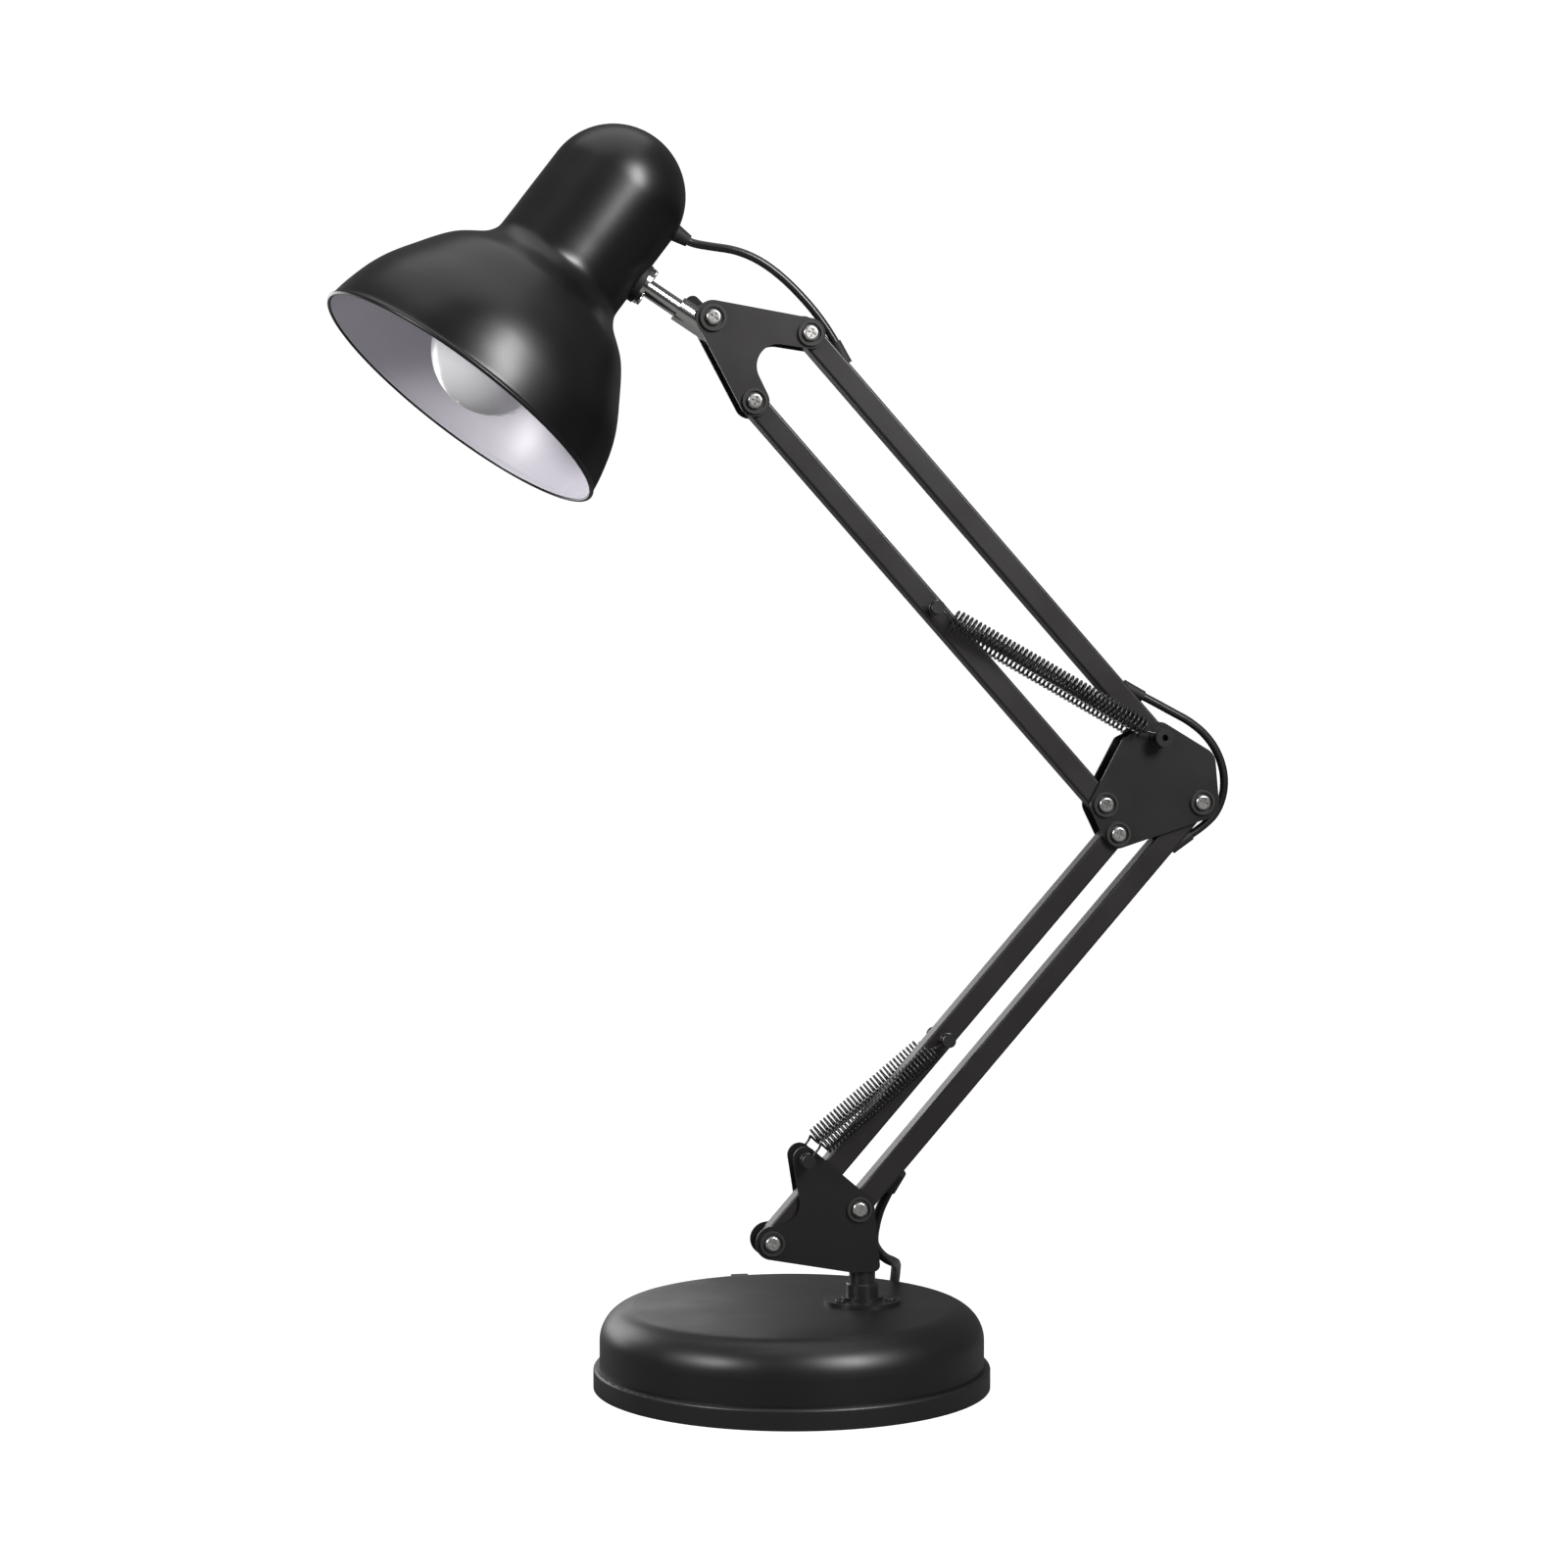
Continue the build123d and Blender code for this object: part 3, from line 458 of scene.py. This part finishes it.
def softened(points, rounds=3):
    """A profile with points added between its own, on a smooth line through them."""
    for _ in range(rounds):
        out = [points[0]]
        last = len(points) - 1
        for i in range(last):
            a, b = points[max(i - 1, 0)], points[i]
            c, d = points[i + 1], points[min(i + 2, last)]
            out.append(tuple((9.0 * (b[k] + c[k]) - (a[k] + d[k])) / 16.0 for k in (0, 1)))
            out.append(c)
        points = out
    return points


BELL = [
    (75.0, 0.0), (73.6, 9.67), (70.4, 22.4), (66.2, 32.67), (60.2, 43.0), (54.0, 53.0),
    (48.9, 59.6), (43.1, 64.6), (37.9, 69.2), (34.2, 75.2), (NECK_R, 82.0), (NECK_R, 95.0),
]
DOME_STEPS = 24
RIM_R = 1.05
RIM_AT = (74.55, 0.9)
RIM_INSIDE = 2.0
RIM_OUTSIDE = 2.2
WHITE_FROM = 1.4


def shade_line(inset):
    """The bell, the neck and the dome from mouth to crown, moved inwards."""
    line = [(radius - inset, height) for radius, height in softened(BELL)]
    line += [(NECK_R - inset, height) for height in (105.0, 118.0)]
    for i in range(DOME_STEPS + 1):
        turn = math.radians(90.0 * i / DOME_STEPS)
        radius = max((NECK_R - inset) * math.cos(turn), 0.001)
        line.append((radius, NECK_TOP + (SHADE_H - NECK_TOP - inset) * math.sin(turn)))
    return line


def looks_inwards(polygon, into_shade):
    """Whether a face of the shade looks at its axis or, in the dome, at the dome's centre."""
    centre = into_shade @ polygon.center
    normal = into_shade.to_3x3() @ polygon.normal
    heart = Vector((0.0, 0.0, min(centre.z, NECK_TOP * MM)))
    return centre.z > WHITE_FROM * MM and normal.dot(centre - heart) < 0.0


def shade_look():
    """The spun shade: black outside and over its rolled rim, white inside."""
    rim = []
    for i in range(11):
        dx, dz = polar(24.0 * i - 170.0, RIM_R)
        rim.append((RIM_AT[0] + dx, RIM_AT[1] + dz))
    outer = [point for point in shade_line(0.0) if point[1] > RIM_OUTSIDE]
    inner = [point for point in shade_line(SHADE_WALL) if point[1] > RIM_INSIDE]
    build = bmesh.new()
    turned(build, rim + outer + inner[::-1], SHADE_MATRIX, steps=180)
    made = piece_of("shade_look", build, LOOKS["shade_paint"], smooth=50.0)
    made.data.materials.append(SHADE_WHITE)
    into_shade = SHADE_MATRIX.inverted()
    for polygon in made.data.polygons:
        polygon.material_index = int(looks_inwards(polygon, into_shade))
    return made


shade_piece = shade_look()
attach(shade_piece, "shade")
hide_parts("shade_shell")

# ---------------------------------------------------------------- the springs
SPRING_Y = 12.6
SPRING_R = 4.7
SPRING_WIRE = 1.25
SPRING_LOOP_R = 3.2
SHANK_RISE = 0.9
STEPS_A_TURN = 18


def wire_eye(centre, start):
    """A loop of wire round a pin, open where the wire leaves it."""
    around = (polar(start + 18.0 * i, SPRING_LOOP_R) for i in range(19))
    return [(centre + dx, 0.0, dz) for dx, dz in around]


def spring_path(length, near_gap, far_gap, turns):
    """A tension spring's wire along +X: an eye round each pin and open turns between them."""
    path = wire_eye(0.0, 30.0)
    path += [(SPRING_LOOP_R + 1.6, 0.0, 0.2), (near_gap - 2.0, 0.0, SHANK_RISE)]
    coil_r = SPRING_R - SPRING_WIRE / 2
    count = turns * STEPS_A_TURN
    for i in range(count + 1):
        grow = min(i, count - i) / STEPS_A_TURN
        radius = coil_r * (0.45 + 0.55 * min(1.0, grow * 1.6))
        turn = math.tau * i / STEPS_A_TURN
        x = near_gap + (length - near_gap - far_gap) * i / count
        path.append((x, radius * math.sin(turn), radius * math.cos(turn)))
    path += [(length - far_gap + 2.0, 0.0, SHANK_RISE), (length - SPRING_LOOP_R - 1.6, 0.0, 0.2)]
    return path + wire_eye(length, 180.0)


def spring_pair(name, fixed, moving, gaps, turns, bodies):
    """The near and the far spring between two pins, which stretch from their fixed to their moving end."""
    length = math.dist(fixed, moving)
    rise = math.atan2(moving[1] - fixed[1], moving[0] - fixed[0])
    for side, y in (("near", -SPRING_Y), ("far", SPRING_Y)):
        place = Matrix.Translation(mm(fixed[0], y, fixed[1])) @ Matrix.Rotation(-rise, 4, "Y")
        points = [place @ mm(*point) for point in spring_path(length, *gaps, turns)]
        drawn = drawn_line(name, points, SPRING_WIRE / 2, kind="POLY", sides=1)
        made = solid_piece(drawn, f"{name}_{side}")
        give_look(made, LOOKS["spring_steel"])
        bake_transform(made)
        if side == "near":
            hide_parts(*bodies)


# A spring's two bodies and its two nodes have the same names.
spring_pair("lower_spring_coil", STUD_L, PIN_T, (10.0, 8.5), 33, ("lower_springs", "lower_spring_eyes"))
spring_pair("upper_spring_coil", PIVOT_S, PIN_U, (9.5, 9.5), 46, ("upper_springs", "upper_spring_eyes"))


# ---------------------------------------------------------------- studio
def lamp(name, place, aim, size, power, size_y=None):
    light = bpy.data.lights.new(name, "AREA")
    light.energy = power
    light.shape = "RECTANGLE"
    light.size = size
    light.size_y = size_y or size
    made = bpy.data.objects.new(name, light)
    SCENE.collection.objects.link(made)
    made.location = place
    made.visible_camera = False
    made.rotation_euler = (Vector(aim) - Vector(place)).to_track_quat("-Z", "Y").to_euler()


def studio_world():
    """A white background that gives the lamp only a little light."""
    world = bpy.data.worlds.new("studio")
    world.use_nodes = True
    tree = world.node_tree
    dim = tree.nodes["Background"]
    dim.inputs["Color"].default_value = (1.0, 1.0, 1.0, 1.0)
    dim.inputs["Strength"].default_value = 0.13
    backdrop = tree.nodes.new("ShaderNodeBackground")
    backdrop.inputs["Color"].default_value = (1.0, 1.0, 1.0, 1.0)
    backdrop.inputs["Strength"].default_value = 1.05
    rays = tree.nodes.new("ShaderNodeLightPath")
    either = tree.nodes.new("ShaderNodeMixShader")
    tree.links.new(rays.outputs["Is Camera Ray"], either.inputs["Fac"])
    tree.links.new(dim.outputs["Background"], either.inputs[1])
    tree.links.new(backdrop.outputs["Background"], either.inputs[2])
    tree.links.new(either.outputs["Shader"], tree.nodes["World Output"].inputs["Surface"])
    return world


def floor_look():
    """A floor that shows as plain white but stays grey in the lamp's reflections."""
    made = shader("floor", (0.17, 0.17, 0.17), 0.9, spec=0.0)
    tree = made.node_tree
    rays = tree.nodes.new("ShaderNodeLightPath")
    shown = tree.nodes.new("ShaderNodeEmission")
    both = tree.nodes.new("ShaderNodeAddShader")
    tree.links.new(rays.outputs["Is Camera Ray"], shown.inputs["Strength"])
    tree.links.new(tree.nodes["Principled BSDF"].outputs["BSDF"], both.inputs[0])
    tree.links.new(shown.outputs["Emission"], both.inputs[1])
    tree.links.new(both.outputs["Shader"], tree.nodes["Material Output"].inputs["Surface"])
    return made


SCENE.view_settings.view_transform = "Standard"
SCENE.world = studio_world()
lamp("key_left", (-1.5, -0.75, 1.0), (0.0, 0.0, 0.25), 0.5, 20.0)
lamp("key_right", (0.80, -1.45, 1.35), (0.0, 0.0, 0.35), 0.5, 42.0, size_y=0.9)
lamp("back_left", (-0.8, 1.2, 0.55), (0.0, 0.0, 0.15), 0.8, 7.0)
lamp("table_sheen", (-0.13, 1.5, 0.45), (0.0, 0.0, 0.05), 0.7, 1.4, size_y=0.35)
lamp("top", (0.0, 0.2, 1.9), (0.0, 0.0, 0.0), 1.6, 9.0)

ground = bmesh.new()
bmesh.ops.create_grid(ground, x_segments=1, y_segments=1, size=40.0)
piece_of("floor", ground, floor_look())
